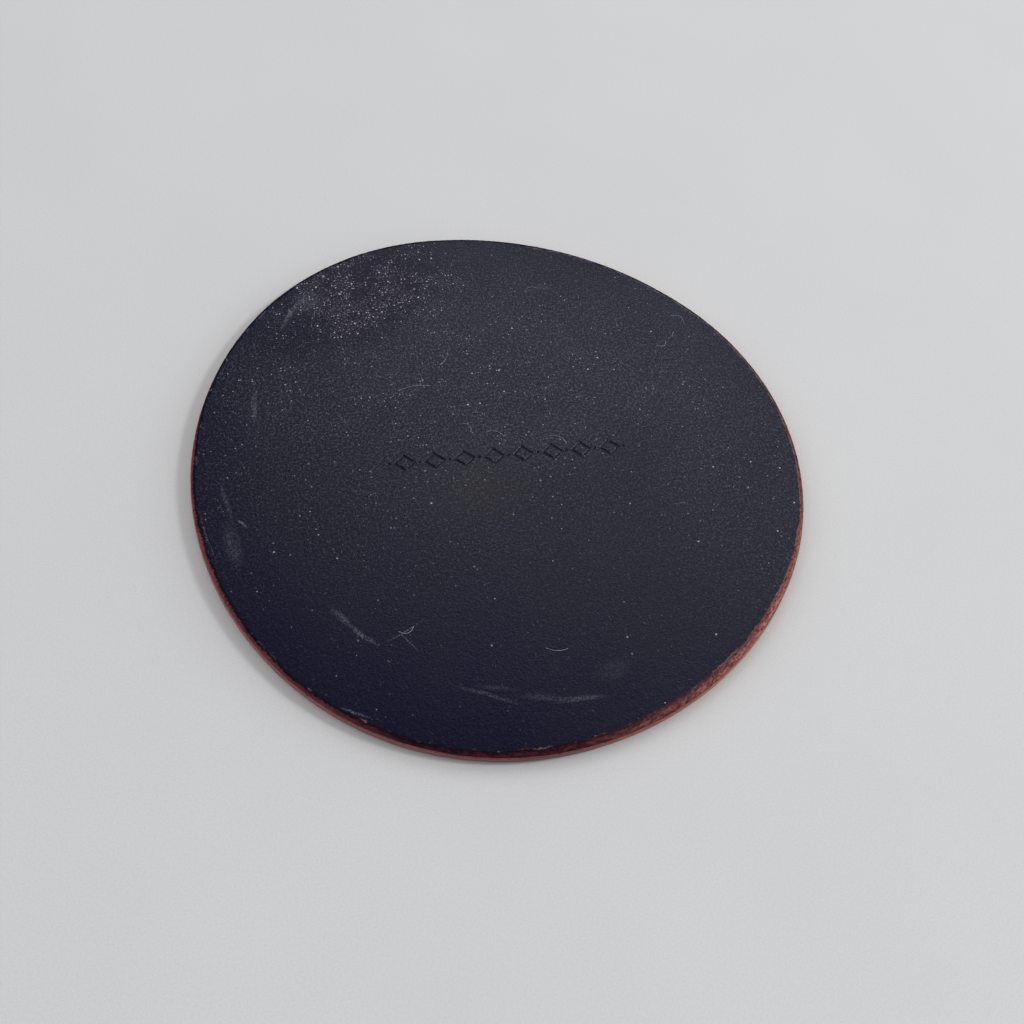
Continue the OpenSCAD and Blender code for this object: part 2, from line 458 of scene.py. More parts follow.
    # The wax is rubbed thin along the near left edge and where the hide is dry, so less light shows in it.
    handled = add(tree, "MapRange", {0: cut, 1: -13.0, 2: -2.0}, interpolation_type="SMOOTHSTEP")
    hand = add(tree, "VectorMath", {0: mm, 1: (-0.85, -0.5, 0.0)}, operation="DOT_PRODUCT")
    hand = add(tree, "MapRange", {0: hand, 1: 10.0, 2: 34.0})
    handled = add(tree, "Math", {0: handled, 1: hand}, operation="MULTIPLY")
    thin = add(tree, "Math", {0: handled, 1: dry}, operation="MAXIMUM")
    thin = add(tree, "MapRange", {0: thin, 3: 1.0, 4: 0.72})
    shine = add(tree, "MapRange", {0: black, 3: 0.14, 4: 0.36})
    shine = add(tree, "Math", {0: shine, 1: thin}, operation="MULTIPLY")

    # Height of the grain: 0.02 mm pebbles, 0.04 mm creases, and grit that stands up to 0.05 mm proud.
    height = add(tree, "Math", {0: pebble, 1: 0.4}, operation="MULTIPLY")
    height = add(tree, "Math", {0: crease, 1: 0.8, 2: height}, operation="MULTIPLY_ADD")
    height = add(tree, "Math", {0: grit, 1: 0.6, 2: height}, operation="MULTIPLY_ADD")
    bump = add(tree, "Bump", {"Height": height, "Distance": 0.05 * MM, "Strength": 1.0})
    feed(tree, shader, {
        "Base Color": colour, "Roughness": rough, "Specular IOR Level": shine, "Normal": bump,
    })
    return material


def burnished_edge_dye():
    # Two cut leather edges, dyed burgundy brown, sealed and rubbed smooth together.
    # The eye gets a satin band with streaks along it, darker towards the bevel, dark flecks, painted light
    # low down on the right and painted contact shade along the foot.
    material, tree, shader, mm = finish_of("burnished_edge_dye")
    spot = add(tree, "SeparateXYZ", {0: mm}).outputs
    along = add(tree, "Mapping", {"Vector": mm, "Scale": (1.0, 1.0, 7.0)})
    streak = add(tree, "TexNoise", {"Vector": along, "Scale": 1 / 1.6, "Detail": 4.0})
    tone = add(tree, "MapRange", {0: streak, 1: 0.30, 2: 0.70})

    # The dye took differently round the rim: rosy on the left, dull in the middle, orange on the right.
    drift = add(tree, "TexNoise", {"Vector": mm, "Scale": 1 / 14, "Detail": 2.0})
    place = add(tree, "Math", {0: drift, 1: 16.0, 2: spot[0]}, operation="MULTIPLY_ADD")
    left = add(tree, "MapRange", {0: place, 1: -40.0, 2: 0.0, 3: 1.0, 4: 0.0})
    right = add(tree, "MapRange", {0: place, 1: 6.0, 2: 38.0})
    shades = []
    for dull, rosy, orange in (("#623539", "#80484b", "#8a4937"), ("#835056", "#a66a6c", "#ba7352")):
        shade = add(tree, "Mix", {0: left, 6: linear(dull), 7: linear(rosy)}, data_type="RGBA")
        shades.append(add(tree, "Mix", {0: right, 6: shade, 7: linear(orange)}, data_type="RGBA"))
    band = add(tree, "Mix", {0: tone, 6: shades[0], 7: shades[1]}, data_type="RGBA")

    # Low down on the right the band is painted pale orange tan: painted light from the lamp on that side.
    thin = add(tree, "MapRange", {0: spot[2], 1: 0.4, 2: 1.5, 3: 0.8, 4: 0.0})
    for factor in (right, tone):
        thin = add(tree, "Math", {0: thin, 1: factor}, operation="MULTIPLY")

    # Towards the bevel the dye lies thick.
    meet = add(tree, "Math", {0: streak, 1: 0.8, 2: spot[2]}, operation="MULTIPLY_ADD")
    upper = add(tree, "MapRange", {0: meet, 1: 2.6, 2: 3.1, 4: 0.5})
    elsewhere = add(tree, "MapRange", {0: right, 3: 1.0, 4: 0.3})
    upper = add(tree, "Math", {0: upper, 1: elsewhere}, operation="MULTIPLY")

    # Flecks: pores near the upper lip that hold dark dye, about 0.5 mm long, and the joint of the leathers.
    squeeze = add(tree, "Mapping", {"Vector": mm, "Scale": (1.0, 1.0, 2.4)})
    pore = add(tree, "TexNoise", {"Vector": squeeze, "Scale": 1 / 0.55, "Detail": 2.0})
    pore = add(tree, "MapRange", {0: pore, 1: 0.52, 2: 0.60})
    belts = []
    for height, half_width, strength in ((2.3, 0.35, 0.60), (1.55, 0.12, 0.55)):
        off = add(tree, "Math", {0: spot[2], 1: height}, operation="SUBTRACT")
        off = add(tree, "Math", {0: off}, operation="ABSOLUTE")
        belt = {0: off, 1: half_width / 3, 2: half_width, 3: strength, 4: 0.0}
        belts.append(add(tree, "MapRange", belt))
    fleck = add(tree, "Math", {0: pore, 1: belts[0]}, operation="MULTIPLY")
    fleck = add(tree, "Math", {0: fleck, 1: belts[1]}, operation="MAXIMUM")

    # Along the foot the band is painted dark, as painted contact shade at the table, least on the right where
    # the lamp falls.
    painted_foot_shade = add(tree, "MapRange", {0: spot[2], 1: 0.30, 2: 0.62, 3: 0.85, 4: 0.0})
    painted_foot_shade = add(tree, "Math", {0: painted_foot_shade, 1: elsewhere}, operation="MULTIPLY")
    # The painted light low on the right and the painted shade along the foot go on here with the dye's own
    # colours.
    for over, tint in ((thin, "#cc9066"), (upper, "#4c2328"), (fleck, "#2c1014"), (painted_foot_shade, "#44191c")):
        band = add(tree, "Mix", {0: over, 6: band, 7: linear(tint)}, data_type="RGBA")

    # Burnishing leaves it satin, with the flecks a little sunk.
    rough = add(tree, "MapRange", {0: streak, 1: 0.3, 2: 0.7, 3: 0.46, 4: 0.62})
    height = add(tree, "Math", {0: fleck, 1: -1.0, 2: streak}, operation="MULTIPLY_ADD")
    bump = add(tree, "Bump", {"Height": height, "Distance": 0.05 * MM, "Strength": 0.8})
    feed(tree, shader, {"Base Color": band, "Roughness": rough, "Specular IOR Level": 0.3, "Normal": bump})
    return material


def flesh_side_suede():
    # The flesh side of the backing leather, shaved and left as suede, in the same burgundy brown.
    # The eye gets a dull nap with short fibres that lie in patches, and a darker dyed rim.
    material, tree, shader, mm = finish_of("flesh_side_suede")
    lie = add(tree, "TexNoise", {"Vector": mm, "Scale": 1 / 9, "Detail": 3.0})
    nap = add(tree, "TexNoise", {"Vector": mm, "Scale": 1 / 0.5, "Detail": 4.0, "Distortion": 1.2})
    tone = add(tree, "Math", {0: lie, 1: 0.6, 2: nap}, operation="MULTIPLY_ADD")
    tone = add(tree, "MapRange", {0: tone, 1: 0.5, 2: 1.1})
    hide = add(tree, "Mix", {0: tone, 6: linear("#4b2a29"), 7: linear("#7a4f49")}, data_type="RGBA")
    inset = add(tree, "Attribute", attribute_name="inset").outputs["Fac"]
    ragged = add(tree, "Math", {0: nap, 1: -1.2, 2: inset}, operation="MULTIPLY_ADD")
    rim = add(tree, "MapRange", {0: ragged, 1: 0.0, 2: 0.5, 3: 1.0, 4: 0.0})
    colour = add(tree, "Mix", {0: rim, 6: hide, 7: linear("#4a2022")}, data_type="RGBA")
    bump = add(tree, "Bump", {"Height": nap, "Distance": 0.12 * MM, "Strength": 0.9})
    feed(tree, shader, {
        "Base Color": colour,
        "Roughness": 0.9,
        "Sheen Weight": 0.25,
        "Sheen Roughness": 0.5,
        "Sheen Tint": linear("#b98a80"),
        "Normal": bump,
    })
    return material


def contact_cement():
    # Contact cement between the two leathers, rolled thin: a dull amber rubber film, unevenly spread.
    material, tree, shader, mm = finish_of("contact_cement")
    spread = add(tree, "TexNoise", {"Vector": mm, "Scale": 1 / 1.5, "Detail": 3.0})
    colour = add(tree, "Mix", {0: spread, 6: linear("#3a2218"), 7: linear("#6b4a30")}, data_type="RGBA")
    rough = add(tree, "MapRange", {0: spread, 3: 0.5, 4: 0.75})
    feed(tree, shader, {"Base Color": colour, "Roughness": rough})
    return material


def loose_leather_fibre():
    # Single fibres of the cut hide, worked loose: pale, dry and a little darker in places where dye took.
    material, tree, shader, mm = finish_of("loose_leather_fibre")
    took = add(tree, "TexNoise", {"Vector": mm, "Scale": 1 / 2.5})
    took = add(tree, "MapRange", {0: took, 1: 0.35, 2: 0.65})
    colour = add(tree, "Mix", {0: took, 6: linear("#86828a"), 7: linear("#bab7bd")}, data_type="RGBA")
    feed(tree, shader, {"Base Color": colour, "Roughness": 0.7})
    return material


def matt_table():
    # A matt pale table, very slightly clouded, with a tooth of 0.35 mm like paper.
    material, tree, shader, mm = finish_of("matt_table")
    haze = add(tree, "TexNoise", {"Vector": mm, "Scale": 1 / 45, "Detail": 3.0})
    colour = add(tree, "Mix", {0: haze, 6: linear("#d0d0d3"), 7: linear("#d6d7d7")}, data_type="RGBA")
    tooth = add(tree, "TexNoise", {"Vector": mm, "Scale": 1 / 0.35, "Detail": 2.0})
    tooth = add(tree, "MapRange", {0: tooth, 1: 0.35, 2: 0.75, 4: 0.34})
    colour = add(tree, "Mix", {0: tooth, 6: colour, 7: linear("#bcbdc0")}, data_type="RGBA")
    feed(tree, shader, {"Base Color": colour, "Roughness": 0.8, "Specular IOR Level": 0.2})
    return material


def top_leather_grid():
    """The top leather before tooling: a fine block under the row, rings to the rim, bevel, wall and base."""
    across = round(BLOCK[0] / BLOCK_STEP / 2) * 2
    up = round(BLOCK[1] / BLOCK_STEP / 2) * 2
    x = np.linspace(-BLOCK[0] / 2, BLOCK[0] / 2, across + 1)
    y = np.linspace(-BLOCK[1] / 2, BLOCK[1] / 2, up + 1)
    grid = np.stack(np.meshgrid(x, y), axis=2).reshape(-1, 2)
    spin = np.array([[math.cos(ROW_TURN), math.sin(ROW_TURN)], [-math.sin(ROW_TURN), math.cos(ROW_TURN)]])
    grid = grid @ spin + np.array(ROW_CENTRE)
    index = np.arange(len(grid)).reshape(up + 1, across + 1)
    block = np.stack([index[:-1, :-1], index[:-1, 1:], index[1:, 1:], index[1:, :-1]], axis=2).reshape(-1, 4)

    # The block's border, anticlockwise from the middle of its right side.
    half = up // 2
    sides = (index[half:, across], index[up, ::-1], index[::-1, 0], index[0, :])
    border = np.concatenate([side[:-1] for side in sides] + [index[:half, across]])
    count = len(border)
    inner = grid[border]
    points = [np.column_stack([grid, np.full(len(grid), FACE)])]
    cuts = [np.full(len(grid), -FACE_MIDDLE)]

    # Rings from the block out to the rim zone.
    rim, outward = outline(count)
    edge = rim - outward * RIM_ZONE
    reach = np.linalg.norm(edge - inner, axis=1)
    first = len(grid)
    wide_rings = []
    for share in (np.arange(1, FACE_RINGS + 1) / FACE_RINGS) ** RING_SPREAD:
        points.append(np.column_stack([inner * (1 - share) + edge * share, np.full(count, FACE)]))
        cuts.append(BEVEL - RIM_ZONE - reach * (1 - share))
        wide_rings.append((first, count))
        first += count

    # In the rim zone there are twice as many points round: flat rings to the bevel, then the bevel rounds
    # over to the wall, which runs down to the cement.
    fine = 2 * count
    rim, outward = outline(fine)
    turned = np.degrees(np.arctan2(outward[:, 1], outward[:, 0])) - WIDE_AT
    leaned = np.exp(-(((turned + 180.0) % 360.0 - 180.0) / WIDE_SPREAD) ** 2)
    bevel = BEVEL * (1.0 + BEVEL_WANDER * wander(fine, SEED, *BEVEL_WAVES)) + WIDE_CUT * leaned
    drop = FACE - COAT_HEAD
    start = RIM_ZONE - SEAM
    profile = [(start + (bevel - start) * share, FACE) for share in np.linspace(0, 1, FLAT_RINGS)]
    for turn in np.linspace(0, math.pi / 2, BEVEL_RINGS)[1:]:
        inset = WALL + (bevel - WALL) * (1 - math.sin(turn)) ** BEVEL_IN
        profile.append((inset, FACE - drop * (1 - math.cos(turn)) ** BEVEL_DOWN))
    profile += [(np.full(fine, WALL), height) for height in (WALL_RING, TOP_BASE)]
    fine_rings = []
    for inset, height in profile:
        points.append(np.column_stack([rim - outward * inset[:, None], np.full(fine, height)]))
        cuts.append(bevel - inset)
        fine_rings.append((first, fine))
        first += fine
    points.append(np.array([[0.0, 0.0, TOP_BASE]]))
    cuts.append(np.array([-FACE_MIDDLE]))

    step = np.arange(count)
    after = (step + 1) % count
    low = wide_rings[0][0]
    collar = np.stack([border[step], low + step, low + after, border[after]], axis=1)
    low = wide_rings[-1][0]
    high = fine_rings[0][0]
    following = (2 * step + 2) % fine
    seam = np.concatenate([
        np.stack([low + step, high + 2 * step, high + 2 * step + 1], axis=1),
        np.stack([low + step, high + 2 * step + 1, low + after], axis=1),
        np.stack([low + after, high + 2 * step + 1, high + following], axis=1),
    ])
    step = np.arange(fine)
    last = fine_rings[-1][0]
    base = np.stack([last + step, np.full(fine, first), last + (step + 1) % fine], axis=1)
    quads = np.concatenate([block, collar, loft(wide_rings), loft(fine_rings)])
    piece = mesh_piece("black_top_leather", np.concatenate(points), quads, np.concatenate([seam, base]))
    note(piece, "cut", np.concatenate(cuts))
    return piece


def worked_leather(sizes):
    """Presses the row into the face, lets the hide lie unevenly and roughens the bevel."""
    tree, given = shape_tree("worked_leather", sizes)
    spot = add(tree, "GeometryNodeInputPosition")
    parts = add(tree, "SeparateXYZ", {0: spot}).outputs
    cut = add(tree, "GeometryNodeInputNamedAttribute", {"Name": "cut"}, data_type="FLOAT")
    flat_spot = add(tree, "CombineXYZ", {0: parts[0], 1: parts[1]})

    # The row: a line of points carries the lozenges, a line with one point more the dots beside them.
    pitch = add(tree, "CombineXYZ", {0: given["Pitch"]})
    marks = []
    for spare in (-1, 0):
        steps = add(tree, "Math", {0: given["Lozenges"], 1: float(spare)})
        span = add(tree, "Math", {0: steps, 1: given["Pitch"]}, operation="MULTIPLY")
        start = add(tree, "Math", {0: span, 1: -0.5}, operation="MULTIPLY")
        start = add(tree, "CombineXYZ", {0: start})
        number = add(tree, "Math", {0: steps, 1: 1.0})
        line = {"Count": number, "Start Location": start, "Offset": pitch}
        marks.append(add(tree, "GeometryNodeMeshLine", line))
    half = add(tree, "Math", {0: given["Lozenge length"], 1: 0.5}, operation="MULTIPLY")
    lozenge = add(tree, "GeometryNodeCurvePrimitiveQuadrilateral", {
        "Width": given["Lozenge width"], "Bottom Height": half, "Top Height": half,
    }, mode="KITE")
    lay = add(tree, "GeometryNodeTransform", {"Geometry": lozenge, "Rotation": (0.0, 0.0, math.pi / 2)})
    lines = add(tree, "GeometryNodeInstanceOnPoints", {"Points": marks[0], "Instance": lay})
    lines = add(tree, "GeometryNodeRealizeInstances", {0: lines})
    lines = add(tree, "GeometryNodeCurveToMesh", {"Curve": lines})
    turned = {"Rotation": (0.0, 0.0, ROW_TURN), "Translation": (ROW_CENTRE[0] * MM, ROW_CENTRE[1] * MM, 0.0)}
    lines = add(tree, "GeometryNodeTransform", {"Geometry": lines, **turned})
    dots = add(tree, "GeometryNodeTransform", {"Geometry": marks[1], **turned})

    # Pressed depth from the distance to a line or dot: a round-bottomed groove and a faint lip beside it.
    sunk = []
    for target, element, reach in ((lines, "EDGES", "Line reach"), (dots, "POINTS", "Dot reach")):
        away = add(tree, "GeometryNodeProximity", {0: target, 2: flat_spot}, target_element=element)
        share = {0: away.outputs["Distance"], 1: given[reach]}
        away = add(tree, "Math", share, operation="DIVIDE", use_clamp=True)
        groove = add(tree, "FloatCurve", {"Value": away})
        curve = groove.mapping.curves[0]
        curve.points[0].location = (0.0, 0.9)
        curve.points[1].location = (1.0, 0.1)
        for at, height in ((0.22, 0.86), (0.5, 0.16), (0.66, 0.04)):
            curve.points.new(at, height)
        groove.mapping.update()
        sunk.append(add(tree, "MapRange", {0: groove, 1: 0.1, 2: 0.9}, clamp=False))
    depth = add(tree, "Math", {0: sunk[0], 1: sunk[1]}, operation="MAXIMUM")
    upside = {0: parts[2], 1: (FACE - 0.1) * MM}
    top_only = add(tree, "FunctionNodeCompare", upside, operation="GREATER_THAN")
    depth = add(tree, "Math", {0: depth, 1: top_only}, operation="MULTIPLY")
    press = add(tree, "Math", {0: depth, 1: given["Pressed depth"]}, operation="MULTIPLY")

    # The hide lies unevenly by a few hundredths, fading out at the rim.
    broad = add(tree, "Math", {0: 1.0, 1: given["Hollow width"]}, operation="DIVIDE")
    hollow = add(tree, "TexNoise", {"Vector": spot, "Scale": broad, "Detail": 1.0})
    inside = add(tree, "MapRange", {0: cut, 1: -0.3, 2: -8.0}, interpolation_type="SMOOTHSTEP")
    inside = add(tree, "Math", {0: inside, 1: top_only}, operation="MULTIPLY")
    hollow = add(tree, "Math", {0: hollow, 1: inside}, operation="MULTIPLY")
    depths = {0: hollow, 1: given["Hollow depth"], 2: press}
    sink = add(tree, "Math", depths, operation="MULTIPLY_ADD")
    sink = add(tree, "Math", {0: sink, 1: -1.0}, operation="MULTIPLY")
    sink = add(tree, "CombineXYZ", {2: sink})

    # The knife leaves the bevel fibrous.
    close = add(tree, "Math", {0: 1.0, 1: given["Fibre width"]}, operation="DIVIDE")
    torn = add(tree, "TexNoise", {"Vector": spot, "Scale": close, "Detail": 3.0})
    torn = add(tree, "MapRange", {0: torn, 1: 0.3, 2: 0.7, 3: -1.0, 4: 0.4}, clamp=False)
    edge = add(tree, "MapRange", {0: cut, 1: -0.2, 2: 0.1})
    above = add(tree, "MapRange", {0: parts[2], 1: COAT_HEAD * MM, 2: (COAT_HEAD + 0.25) * MM})
    for factor in (edge, above, given["Fibre depth"]):
        torn = add(tree, "Math", {0: torn, 1: factor}, operation="MULTIPLY")
    facing = add(tree, "GeometryNodeInputNormal")
    torn = add(tree, "VectorMath", {0: facing, "Scale": torn}, operation="SCALE")
    move = add(tree, "VectorMath", {0: sink, 1: torn}, operation="ADD")

    shown = add(tree, "GeometryNodeStoreNamedAttribute", {
        "Geometry": given["Geometry"], "Name": "pressed", "Value": depth,
    }, data_type="FLOAT", domain="POINT")
    moved = add(tree, "GeometryNodeSetPosition", {"Geometry": shown, "Offset": move})
    whole = add(tree, "GeometryNodeRealizeInstances", {0: moved})
    coated = add(tree, "GeometryNodeSetMaterial", {"Geometry": whole, "Material": given["Finish"]})
    add(tree, "NodeGroupOutput", {0: coated})
    return tree


def band_along_rim(sizes):
    """Sweeps a closed section along the outline, and leaves it as uneven as hand burnishing does."""
    tree, given = shape_tree("band_along_rim", sizes)
    path = add(tree, "GeometryNodeMeshToCurve", {0: given["Geometry"]})
    path = add(tree, "GeometryNodeSetCurveNormal", {0: path}, mode="Z_UP")
    section = add(tree, "GeometryNodeObjectInfo", {"Object": given["Section"]}).outputs["Geometry"]
    section = add(tree, "GeometryNodeMeshToCurve", {0: section})
    band = add(tree, "GeometryNodeCurveToMesh", {"Curve": path, "Profile Curve": section})
    band = add(tree, "GeometryNodeFlipFaces", {0: band})
    spot = add(tree, "GeometryNodeInputPosition")
    long_spot = add(tree, "VectorMath", {0: spot, 1: (1.0, 1.0, 3.0)}, operation="MULTIPLY")
    close = add(tree, "Math", {0: 1.0, 1: given["Streak length"]}, operation="DIVIDE")
    uneven = add(tree, "TexNoise", {"Vector": long_spot, "Scale": close, "Detail": 3.0})
    uneven = add(tree, "MapRange", {0: uneven, 1: 0.25, 2: 0.75, 3: -1.0, 4: 0.0})
    uneven = add(tree, "Math", {0: uneven, 1: given["Unevenness"]}, operation="MULTIPLY")
    facing = add(tree, "GeometryNodeInputNormal")
    flat = add(tree, "VectorMath", {0: facing, 1: (1.0, 1.0, 0.0)}, operation="MULTIPLY")
    move = add(tree, "VectorMath", {0: flat, "Scale": uneven}, operation="SCALE")
    band = add(tree, "GeometryNodeSetPosition", {"Geometry": band, "Offset": move})
    band = add(tree, "GeometryNodeSetShadeSmooth", {"Geometry": band})
    band = add(tree, "GeometryNodeRealizeInstances", {0: band})
    band = add(tree, "GeometryNodeSetMaterial", {"Geometry": band, "Material": given["Finish"]})
    add(tree, "NodeGroupOutput", {0: band})
    return tree


def fibres_on_leather(sizes):
    """Lays one bent fibre at each point, turned, stretched and tilted as the point says."""
    tree, given = shape_tree("fibres_on_leather", sizes)
    told = {
        name: add(tree, "GeometryNodeInputNamedAttribute", {"Name": name}, data_type="FLOAT")
        for name in ("heading", "reach", "bend", "tilt")
    }
    strand = add(tree, "GeometryNodeCurveQuadraticBezier", {
        "Resolution": 10, "Start": (-0.5, 0.0, 0.0), "Middle": (0.0, 1.0, 0.0), "End": (0.5, 0.0, 0.0),
    })
    back = add(tree, "Math", {0: told["tilt"], 1: -1.0}, operation="MULTIPLY")
    turn = add(tree, "CombineXYZ", {1: back, 2: told["heading"]})
    size = add(tree, "CombineXYZ", {0: told["reach"], 1: told["bend"], 2: 1.0})
    laid = add(tree, "GeometryNodeInstanceOnPoints", {
        "Points": given["Geometry"], "Instance": strand, "Rotation": turn, "Scale": size,
    })
    laid = add(tree, "GeometryNodeRealizeInstances", {0: laid})
    thickness = {"Resolution": 5, "Radius": given["Thickness"]}
    round_section = add(tree, "GeometryNodeCurvePrimitiveCircle", thickness)
    hair = {"Curve": laid, "Profile Curve": round_section, "Fill Caps": True}
    laid = add(tree, "GeometryNodeCurveToMesh", hair)
    laid = add(tree, "GeometryNodeSetMaterial", {"Geometry": laid, "Material": given["Finish"]})
    add(tree, "NodeGroupOutput", {0: laid})
    return tree


# The top leather, tooled and bevelled.
top = top_leather_grid()
top_sizes = {
    "Lozenges": LOZENGES,
    "Pitch": ROW_PITCH * MM,
    "Lozenge length": 3.6 * MM,
    "Lozenge width": 3.2 * MM,
    "Line reach": 0.45 * MM,
    "Dot reach": 0.60 * MM,
    "Pressed depth": 0.115 * MM,
    "Hollow width": 26 * MM,
    "Hollow depth": 0.10 * MM,
    "Fibre width": 0.45 * MM,
    "Fibre depth": 0.04 * MM,
    "Finish": black_waxed_leather(),
}
run_tree(top, worked_leather(top_sizes), top_sizes)
top.data.set_sharp_from_angle(angle=math.radians(60))

# The edge coat, swept along the rim: a section with a crowned outside and a flat inside.
coat = loop_piece("burnished_edge", outline(COAT_STEPS)[0])
crown = np.linspace(-1.0, 1.0, CROWN_POINTS)
inner = np.linspace(1.0, -1.0, INNER_POINTS)
middle = (COAT_HEAD + COAT_FOOT) / 2
half_height = (COAT_HEAD - COAT_FOOT) / 2
section = loop_piece("edge_section", np.concatenate([
    np.column_stack([-COAT_LIP * crown ** 2, -middle - half_height * crown]),
    np.column_stack([np.full(INNER_POINTS, -WALL), -middle - half_height * inner]),
]))
coat_sizes = {
    "Section": section,
    "Streak length": 2.4 * MM,
    "Unevenness": 0.06 * MM,
    "Finish": burnished_edge_dye(),
}
run_tree(coat, band_along_rim(coat_sizes), coat_sizes)
bpy.data.objects.remove(section)

# The backing leather: suede underside, narrow foot and wall. Each row of the foot and wall has how far it
# lies inside the outline, and its height.
FIRST_RING = 0.06
FOOT_AND_WALL = [(0.52, 0.07), (0.44, 0.16), (WALL, FOOT_HEIGHT), (WALL, 0.9), (WALL, BACKING_HEAD)]
rim_points, rim_outward = outline(BACKING_STEPS)
count = len(rim_points)
layers = []
insets = []
for share in np.linspace(FIRST_RING, 1.0, UNDER_RINGS):
    layers.append(np.column_stack([(rim_points - rim_outward * FOOT) * share, np.zeros(count)]))
    insets.append(np.full(count, FOOT + UNDER_MIDDLE * (1 - share)))
for inset, height in FOOT_AND_WALL:
    layers.append(np.column_stack([rim_points - rim_outward * inset, np.full(count, height)]))
    insets.append(np.full(count, inset))
layers.append(np.array([[0.0, 0.0, 0.0], [0.0, 0.0, BACKING_HEAD]]))
insets.append(np.full(2, UNDER_MIDDLE))
rings = [(i * count, count) for i in range(len(layers) - 1)]
step = np.arange(count)
after = (step + 1) % count
bottom_middle = len(rings) * count
fans = np.concatenate([
    np.stack([step, after, np.full(count, bottom_middle)], axis=1)[:, ::-1],
    np.stack([rings[-1][0] + step, rings[-1][0] + after, np.full(count, bottom_middle + 1)], axis=1),
])
backing = mesh_piece("suede_backing", np.concatenate(layers), loft(rings)[:, ::-1], fans)
note(backing, "inset", np.concatenate(insets))
backing.data.set_sharp_from_angle(angle=math.radians(50))
backing.data.materials.append(flesh_side_suede())

# The cement keeps its solid and gets its finish.
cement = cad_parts["cement"]
cement.data.materials.clear()
cement.data.materials.append(contact_cement())

# Loose fibres: curls that lie on the face where the real one has them, and short ends along the far bevel.
# Each curl has the middle x and y, the heading in degrees, the reach and the bend.
CURLS = [
    (-14.2, 18.2, 2.4, 6.4, 1.2),
    (-7.3, 24.7, 54.0, 3.6, -0.8),
    (-24.0, -31.6, 10.0, 2.6, -1.6),
    (0.5, -39.4, -11.3, 3.8, -0.9),
    (42.9, 28.2, -50.0, 3.4, 2.4),
    (37.7, 22.7, 20.0, 2.4, -1.8),
    (14.1, 40.2, 12.0, 3.0, 1.6),
    (40.2, 24.4, 42.0, 2.6, -0.6),
    (-6.0, 7.6, -65.0, 2.4, 1.6),
    (-1.0, 5.6, -20.0, 3.2, 1.0),
    (10.8, 2.4, -38.0, 3.6, 1.4),
]

# The ends stand on the far part of a ring of this many. Each has its middle just under the face, 0.45 to
# 0.95 mm in, lies more or less along the rim, is 0.5 to 1.3 mm long, bends to either side and may stand up.
ENDS_ROUND = 46
FAR_SIDE = 0.3
rng = np.random.default_rng(SEED)
ends = np.stack(outline(ENDS_ROUND), axis=1)
ends = ends[ends[:, 1, 1] > FAR_SIDE]
number = len(ends)
end_points = ends[:, 0] - ends[:, 1] * rng.uniform(0.45, 0.95, number)[:, None]
end_heading = np.arctan2(ends[:, 1, 1], ends[:, 1, 0]) + rng.normal(math.pi / 2, 0.8, number)
spots = [(x, y, FACE + 0.01) for x, y, *_ in CURLS]
spots += [(x, y, FACE - 0.02) for x, y in end_points]
fibres = mesh_piece("loose_fibres", spots, [])
facts = {
    "heading": [math.radians(row[2]) for row in CURLS] + list(end_heading),
    "reach": [row[3] * MM for row in CURLS] + list(rng.uniform(0.5, 1.3, number) * MM),
    "bend": [row[4] * MM for row in CURLS] + list(rng.uniform(-0.5, 0.5, number) * MM),
    "tilt": [0.0] * len(CURLS) + list(rng.uniform(-0.05, 0.3, number)),
}
for fact, values in facts.items():
    note(fibres, fact, values)
fibre_sizes = {"Thickness": 0.028 * MM, "Finish": loose_leather_fibre()}
run_tree(fibres, fibres_on_leather(fibre_sizes), fibre_sizes)

# Each piece rides on the one body and stands for its solid.
for piece, node in ((top, "top_leather"), (coat, "edge_coat"), (backing, "backing_leather")):
    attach(piece, "root")
    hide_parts(node)
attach(fibres, "root")

# The table, a hair below the part so that the two share no plane.
TABLE_REACH = 3000.0
TABLE_GAP = 0.02
corners = [(x * TABLE_REACH, y * TABLE_REACH, 0.0) for x, y in ((-1, -1), (1, -1), (1, 1), (-1, 1))]
table = mesh_piece("table", corners, [(0, 1, 2, 3)])
table.location.z = -TABLE_GAP * MM
table.data.materials.append(matt_table())

# A soft room: three broad glows light the table, from the right, the far left and, faintly, the near side.
# Seen directly or mirrored, the room is a pale backdrop that fades to a dark ceiling.
# Each glow has the direction it comes from, its height angle and its strength.
GLOW_FALL = 4.0
GLOWS = [
    (0.0, 0.0, 3.5),
    (150.0, 40.0, 1.75),
    (275.0, 15.0, 0.75),
]

world = bpy.data.worlds.new("room")
bpy.context.scene.world = world
world.use_nodes = True
room = world.node_tree
way = add(room, "TexCoord").outputs["Generated"]
rise = add(room, "SeparateXYZ", {0: way}).outputs[2]
shine = 0.0
for bearing, height, strength in GLOWS:
    glow = add(room, "VectorMath", {0: way, 1: towards(bearing, height)}, operation="DOT_PRODUCT")
    glow = add(room, "Math", {0: glow, 1: 0.0}, operation="MAXIMUM")
    glow = add(room, "Math", {0: glow, 1: GLOW_FALL}, operation="POWER")
    shine = add(room, "Math", {0: glow, 1: strength, 2: shine}, operation="MULTIPLY_ADD")
shine = add(room, "Background", {"Color": linear("#ffffff"), "Strength": shine})
fade = add(room, "MapRange", {0: rise, 1: 0.02, 2: 0.35}, interpolation_type="SMOOTHSTEP")
walls = add(room, "Mix", {0: fade, 6: linear("#e4e6e8"), 7: linear("#0c0c10")}, data_type="RGBA")
walls = add(room, "Background", {"Color": walls, "Strength": 1.0})
ray = add(room, "LightPath").outputs
seen = add(room, "Math", {0: ray["Is Camera Ray"], 1: ray["Is Glossy Ray"]}, operation="MAXIMUM")
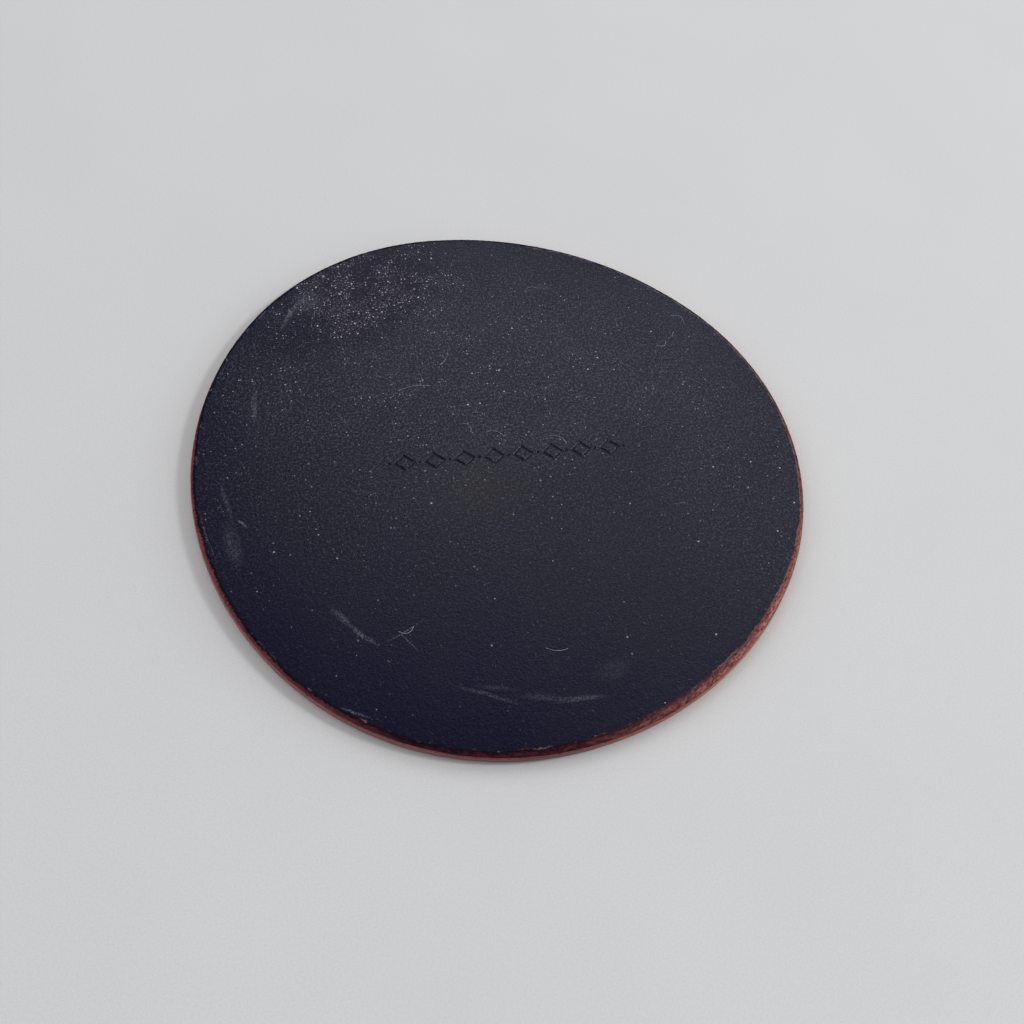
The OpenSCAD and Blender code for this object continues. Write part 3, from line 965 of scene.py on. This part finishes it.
seen = add(room, "Math", {0: seen, 1: ray["Is Transmission Ray"]}, operation="MAXIMUM")
both = add(room, "MixShader", {0: seen, 1: shine, 2: walls})
feed(room, room.nodes["World Output"], {"Surface": both})

# A small lamp on the right and a broad window at the far side: name, direction it stands in, height angle,
# distance, width and height in metres, and power in watts.
LAMPS = [
    ("right_lamp", -11.0, 44.0, 1.3, 0.20, 0.20, 4.4),
    ("far_window", 64.0, 50.5, 1.4, 1.1, 0.56, 3.2),
]
for name, bearing, height, distance, wide, tall, power in LAMPS:
    light = bpy.data.lights.new(name, "AREA")
    light.shape = "RECTANGLE"
    light.size = wide
    light.size_y = tall
    light.energy = power
    lamp = bpy.data.objects.new(name, light)
    bpy.context.scene.collection.objects.link(lamp)
    lamp.location = towards(bearing, height) * distance
    lamp.rotation_mode = "QUATERNION"
    lamp.rotation_quaternion = towards(bearing, height).to_track_quat("Z", "Y")

# The camera: above the near left, tipped down 59 degrees and turned 11 degrees about its own line of sight.
camera = bpy.data.objects.new("camera", bpy.data.cameras.new("camera"))
bpy.context.scene.collection.objects.link(camera)
camera.data.sensor_width = 36.0
camera.data.lens = 36.0
camera.data.clip_start = 0.01
camera.data.clip_end = 20.0
AZIMUTH = math.radians(-21.662)
ELEVATION = math.radians(58.951)
ROLL = math.radians(10.914)
AIM = Vector((-0.68, -10.185, 0.0)) * MM
DISTANCE = 190.329 * MM
level = math.cos(ELEVATION)
back = Vector((math.sin(AZIMUTH) * level, -math.cos(AZIMUTH) * level, math.sin(ELEVATION)))
side = Vector((math.cos(AZIMUTH), math.sin(AZIMUTH), 0.0))
upright = back.cross(side)
right = math.cos(ROLL) * side + math.sin(ROLL) * upright
upward = -math.sin(ROLL) * side + math.cos(ROLL) * upright
camera.rotation_mode = "QUATERNION"
camera.rotation_quaternion = Matrix((right, upward, back)).transposed().to_quaternion()
camera.location = AIM + back * DISTANCE
bpy.context.scene.camera = camera
bpy.context.scene.view_settings.view_transform = "Standard"

bpy.context.view_layer.update()
